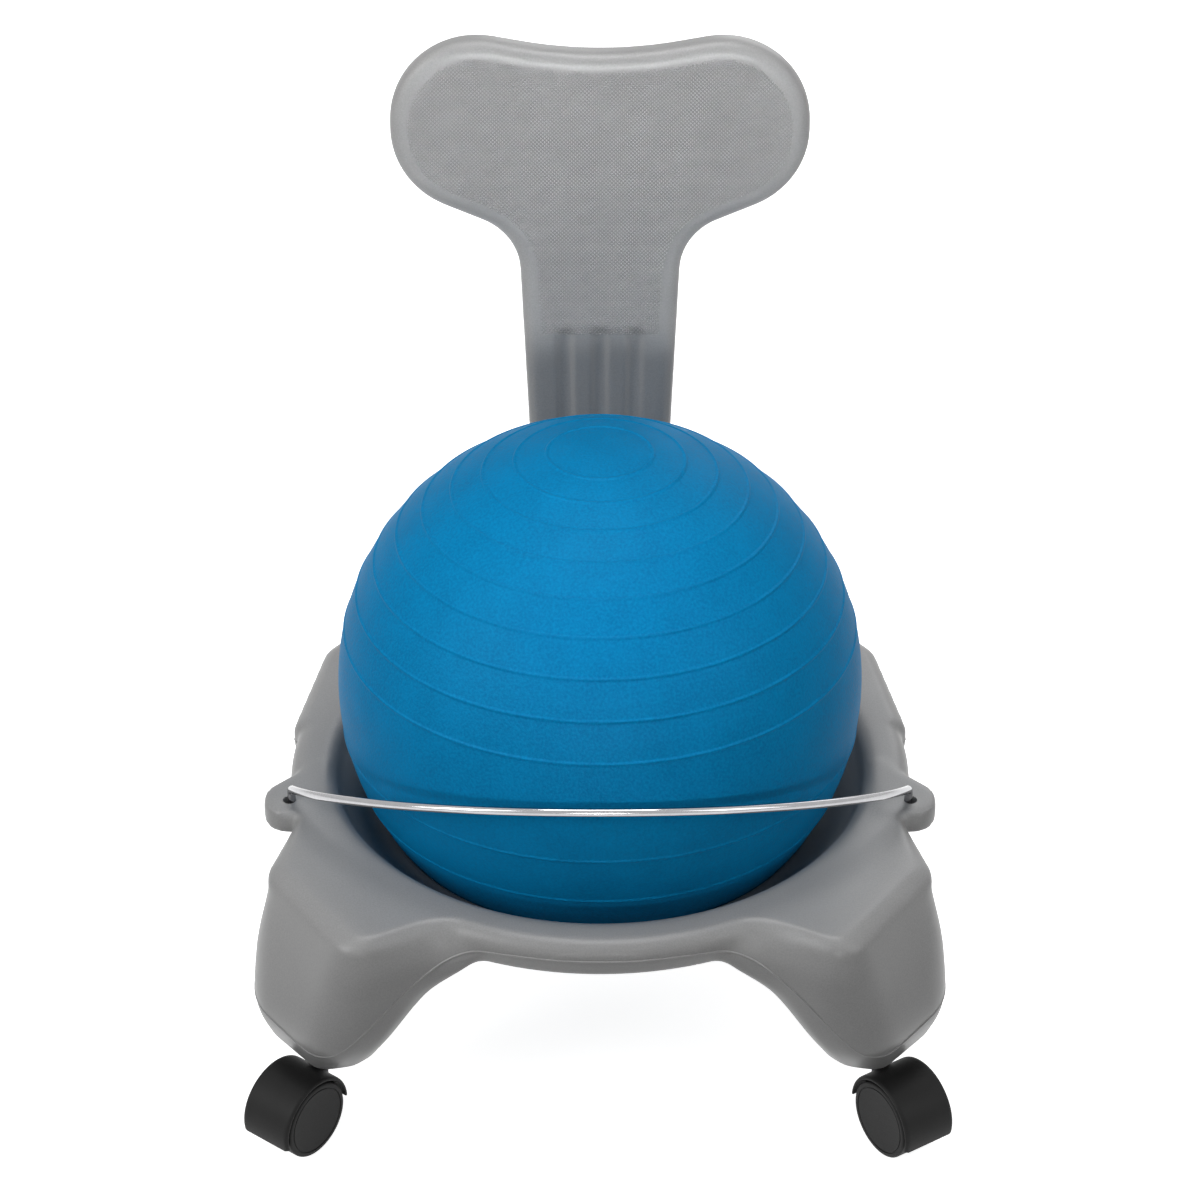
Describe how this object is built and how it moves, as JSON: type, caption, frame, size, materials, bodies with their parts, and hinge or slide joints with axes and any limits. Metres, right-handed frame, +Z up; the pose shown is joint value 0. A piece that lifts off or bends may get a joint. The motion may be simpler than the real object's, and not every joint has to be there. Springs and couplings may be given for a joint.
{
  "type": "balance ball chair",
  "caption": "Exercise ball seat on a low four-legged plastic base with swivel casters, a bowed metal support bar in front and a paddle-shaped backrest.",
  "frame": {"origin": "on the floor under the middle of the ball", "axes": "+Z up, -Y towards the front of the chair, +X to the right as seen from the front"},
  "size_m": [0.5072, 0.492, 0.6674],
  "materials": {
    "grey_plastic": "fine-grained matte, mid grey",
    "blue_vinyl": "satin blue vinyl with narrow raised rings",
    "black_plastic": "satin black moulded plastic",
    "chromed_steel": "polished chrome",
    "steel": "zinc plated",
    "white_plastic": "smooth white stopper"
  },
  "bodies": {
    "base": {"base_shell": "grey_plastic", "backrest": "grey_plastic", "backrest_bolts": "steel", "backrest_washers": "steel", "backrest_inserts": "steel", "caster_sockets": "black_plastic"},
    "bar": {"support_bar": "chromed_steel"},
    "ball": {"ball": "blue_vinyl"},
    "plug": {"ball_plug": "white_plastic"},
    "front_left_caster": {"front_left_stem": "steel", "front_left_hood": "black_plastic", "front_left_axle": "steel"},
    "front_left_left_wheel": {"front_left_wheel_left": "black_plastic"},
    "front_left_right_wheel": {"front_left_wheel_right": "black_plastic"},
    "front_right_caster": {"front_right_stem": "steel", "front_right_hood": "black_plastic", "front_right_axle": "steel"},
    "front_right_left_wheel": {"front_right_wheel_left": "black_plastic"},
    "front_right_right_wheel": {"front_right_wheel_right": "black_plastic"},
    "rear_left_caster": {"rear_left_stem": "steel", "rear_left_hood": "black_plastic", "rear_left_axle": "steel"},
    "rear_left_left_wheel": {"rear_left_wheel_left": "black_plastic"},
    "rear_left_right_wheel": {"rear_left_wheel_right": "black_plastic"},
    "rear_right_caster": {"rear_right_stem": "steel", "rear_right_hood": "black_plastic", "rear_right_axle": "steel"},
    "rear_right_left_wheel": {"rear_right_wheel_left": "black_plastic"},
    "rear_right_right_wheel": {"rear_right_wheel_right": "black_plastic"}
  },
  "joints": [
    {"name": "bar_lift", "type": "slide", "parent": "base", "child": "bar", "axis": [0, 0, 1], "range_m": [0, 0.05]},
    {"name": "ball_lift", "type": "slide", "parent": "base", "child": "ball", "axis": [0, 0, 1], "range_m": [0, 0.2]},
    {"name": "plug_pull", "type": "slide", "parent": "ball", "child": "plug", "axis": [0, 0, -1], "range_m": [0, 0.02]},
    {"name": "front_left_swivel", "type": "hinge", "parent": "base", "child": "front_left_caster", "pos_m": [-0.202, -0.167, 0.085], "axis": [0, 0, 1], "continuous": true},
    {"name": "front_left_left_roll", "type": "hinge", "parent": "front_left_caster", "child": "front_left_left_wheel", "pos_m": [-0.21862, -0.18828, 0.029], "axis": [0.788, -0.6157, 0], "continuous": true},
    {"name": "front_left_right_roll", "type": "hinge", "parent": "front_left_caster", "child": "front_left_right_wheel", "pos_m": [-0.21862, -0.18828, 0.029], "axis": [0.788, -0.6157, 0], "continuous": true},
    {"name": "front_right_swivel", "type": "hinge", "parent": "base", "child": "front_right_caster", "pos_m": [0.202, -0.167, 0.085], "axis": [0, 0, 1], "continuous": true},
    {"name": "front_right_left_roll", "type": "hinge", "parent": "front_right_caster", "child": "front_right_left_wheel", "pos_m": [0.2169, -0.18951, 0.029], "axis": [0.8339, 0.5519, 0], "continuous": true},
    {"name": "front_right_right_roll", "type": "hinge", "parent": "front_right_caster", "child": "front_right_right_wheel", "pos_m": [0.2169, -0.18951, 0.029], "axis": [0.8339, 0.5519, 0], "continuous": true},
    {"name": "rear_left_swivel", "type": "hinge", "parent": "base", "child": "rear_left_caster", "pos_m": [-0.176, 0.18, 0.085], "axis": [0, 0, 1], "continuous": true},
    {"name": "rear_left_left_roll", "type": "hinge", "parent": "rear_left_caster", "child": "rear_left_left_wheel", "pos_m": [-0.19262, 0.20128, 0.029], "axis": [-0.788, -0.6157, 0], "continuous": true},
    {"name": "rear_left_right_roll", "type": "hinge", "parent": "rear_left_caster", "child": "rear_left_right_wheel", "pos_m": [-0.19262, 0.20128, 0.029], "axis": [-0.788, -0.6157, 0], "continuous": true},
    {"name": "rear_right_swivel", "type": "hinge", "parent": "base", "child": "rear_right_caster", "pos_m": [0.176, 0.18, 0.085], "axis": [0, 0, 1], "continuous": true},
    {"name": "rear_right_left_roll", "type": "hinge", "parent": "rear_right_caster", "child": "rear_right_left_wheel", "pos_m": [0.19262, 0.20128, 0.029], "axis": [-0.788, 0.6157, 0], "continuous": true},
    {"name": "rear_right_right_roll", "type": "hinge", "parent": "rear_right_caster", "child": "rear_right_right_wheel", "pos_m": [0.19262, 0.20128, 0.029], "axis": [-0.788, 0.6157, 0], "continuous": true}
  ]
}
